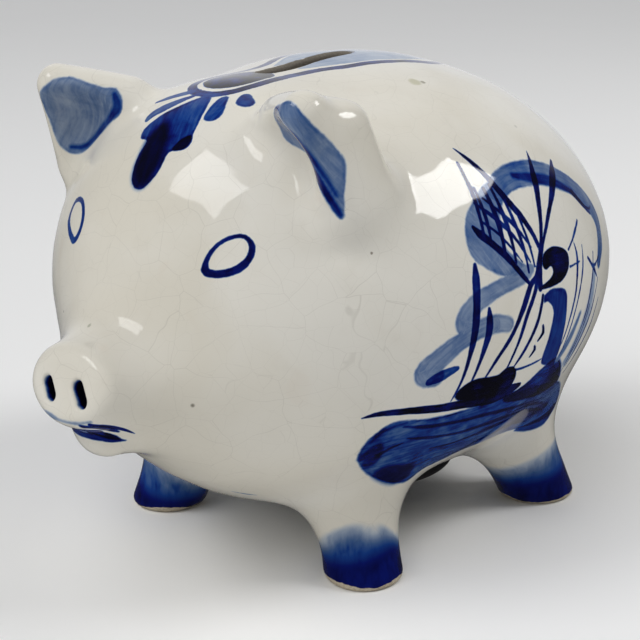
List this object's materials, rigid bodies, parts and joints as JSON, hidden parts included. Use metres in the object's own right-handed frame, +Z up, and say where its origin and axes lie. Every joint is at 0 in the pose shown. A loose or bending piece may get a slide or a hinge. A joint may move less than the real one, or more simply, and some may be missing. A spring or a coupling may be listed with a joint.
{
  "type": "pig money bank",
  "caption": "Round hollow earthenware pig with a coin slot in its back, short legs, leaf ears and a rubber stopper in its belly.",
  "frame": {"origin": "on the table under the middle of the object's box", "axes": "+Z up, the pig looks along -Y, and its left side is +X"},
  "size_m": [0.123, 0.1654, 0.113],
  "materials": {
    "glazed_clay": "off-white crackled gloss glaze with cobalt brush painting",
    "painted_clay": "cobalt wash under gloss glaze, bare clay rim",
    "black_rubber": "moulded black rubber"
  },
  "bodies": {
    "pig": {"body_shell": "glazed_clay", "snout": "glazed_clay", "lower_jaw": "glazed_clay", "left_ear": "glazed_clay", "right_ear": "glazed_clay", "front_left_leg": "painted_clay", "front_right_leg": "painted_clay", "rear_left_leg": "painted_clay", "rear_right_leg": "painted_clay", "tail": "glazed_clay"},
    "plug": {"stopper": "black_rubber"}
  },
  "joints": [
    {"name": "stopper_pull", "type": "slide", "parent": "pig", "child": "plug", "axis": [0, 0, -1], "range_m": [0, 0.03]}
  ]
}
